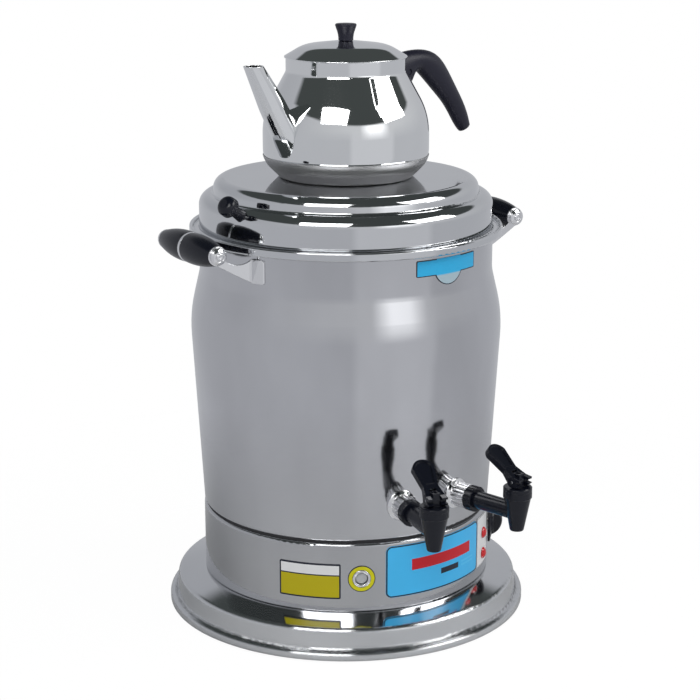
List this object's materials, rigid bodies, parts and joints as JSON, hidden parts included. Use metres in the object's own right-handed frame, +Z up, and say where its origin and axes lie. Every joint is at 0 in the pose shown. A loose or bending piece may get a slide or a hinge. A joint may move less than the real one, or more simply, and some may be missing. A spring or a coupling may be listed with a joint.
{
  "type": "electric tea urn with teapot",
  "caption": "Stainless steel electric tea urn on a stepped base, with paddle-lever taps, side carry handles, thermostat knob, lift-off lid and a teapot standing on the lid.",
  "frame": {"origin": "on the floor, under the axis of the urn", "axes": "+Z up, -Y to the front where the taps are, +X to the right as seen from the front"},
  "size_m": [0.3946, 0.4328, 0.6109],
  "materials": {
    "polished_steel": "polished",
    "satin_steel": "satin",
    "bright_metal": "polished",
    "brass": "satin",
    "black_plastic": "gloss",
    "grey_plastic": "matte",
    "rubber": "matte",
    "blue_plate": "gloss",
    "white_plate": "gloss",
    "yellow_plate": "gloss",
    "red_lens": "gloss"
  },
  "bodies": {
    "urn": {"base_plate": "satin_steel", "base_screws": "bright_metal", "base_tray": "polished_steel", "body_shell": "satin_steel", "cable_gland": "black_plastic", "feet": "rubber", "front_plate": "blue_plate", "grip_caps": "bright_metal", "grip_rings": "bright_metal", "grip_rods": "bright_metal", "heater_housing": "satin_steel", "heater_nuts": "brass", "heating_element": "bright_metal", "info_plate": "yellow_plate", "lamp_strip": "white_plate", "left_grip": "black_plastic", "left_grip_arms": "bright_metal", "left_tap_body": "black_plastic", "left_tap_bonnet": "black_plastic", "pilot_lamps": "red_lens", "reset_bezel": "bright_metal", "reset_mark": "yellow_plate", "right_grip": "black_plastic", "right_grip_arms": "bright_metal", "right_tap_body": "black_plastic", "right_tap_bonnet": "black_plastic", "rim_ring": "polished_steel", "seam_ring": "rubber", "tank_gaskets": "rubber", "tap_back_nuts": "brass", "tap_collars": "bright_metal", "tap_rings": "black_plastic", "terminal_block": "grey_plastic", "thermal_cutout": "grey_plastic", "thermostat_body": "grey_plastic", "upper_plate": "blue_plate", "water_tank": "satin_steel"},
    "lid": {"lid_shell": "polished_steel", "lid_knob": "black_plastic", "lid_knob_screw": "bright_metal"},
    "teapot": {"teapot_body": "polished_steel", "teapot_base": "satin_steel", "teapot_spout": "polished_steel", "teapot_handle": "black_plastic", "teapot_bracket": "satin_steel", "teapot_handle_screw": "bright_metal"},
    "teapot_lid": {"teapot_lid": "polished_steel", "teapot_knob": "black_plastic", "teapot_knob_screw": "bright_metal"},
    "thermostat_knob": {"thermostat_knob": "black_plastic", "thermostat_shaft": "bright_metal"},
    "reset_button": {"reset_button": "grey_plastic"},
    "left_stem": {"left_tap_stem": "bright_metal", "left_tap_seat_cup": "rubber", "left_tap_pin": "bright_metal"},
    "left_lever": {"left_tap_lever": "black_plastic"},
    "right_stem": {"right_tap_stem": "bright_metal", "right_tap_seat_cup": "rubber", "right_tap_pin": "bright_metal"},
    "right_lever": {"right_tap_lever": "black_plastic"}
  },
  "joints": [
    {"name": "lid_lift", "type": "slide", "parent": "urn", "child": "lid", "axis": [0, 0, 1], "range_m": [0, 0.2]},
    {"name": "teapot_lift", "type": "slide", "parent": "lid", "child": "teapot", "axis": [0, 0, 1], "range_m": [0, 0.15]},
    {"name": "teapot_lid_lift", "type": "slide", "parent": "teapot", "child": "teapot_lid", "axis": [0, 0, 1], "range_m": [0, 0.1]},
    {"name": "thermostat_turn", "type": "hinge", "parent": "urn", "child": "thermostat_knob", "pos_m": [0.1226, -0.089, 0.0844], "axis": [0.8092, -0.5875, 0], "range_deg": [-270, 0]},
    {"name": "reset_press", "type": "slide", "parent": "urn", "child": "reset_button", "axis": [0.4648, 0.8854, 0], "range_m": [0, 0.0025], "stiffness_N_per_m": 300},
    {"name": "left_stem_lift", "type": "slide", "parent": "urn", "child": "left_stem", "axis": [0, 0, 1], "range_m": [0, 0.00401]},
    {"name": "left_lever_pull", "type": "hinge", "parent": "left_stem", "child": "left_lever", "pos_m": [-0.05066, -0.22853, 0.1817], "axis": [0.9763, -0.2164, 0], "range_deg": [0, 55]},
    {"name": "right_stem_lift", "type": "slide", "parent": "urn", "child": "right_stem", "axis": [0, 0, 1], "range_m": [0, 0.00401]},
    {"name": "right_lever_pull", "type": "hinge", "parent": "right_stem", "child": "right_lever", "pos_m": [0.05066, -0.22853, 0.1817], "axis": [0.9763, 0.2164, 0], "range_deg": [0, 55]}
  ],
  "couplings": [
    {"joint": "left_stem_lift", "follows": "left_lever_pull", "m_per_rad": 0.004167},
    {"joint": "right_stem_lift", "follows": "right_lever_pull", "m_per_rad": 0.004167}
  ]
}
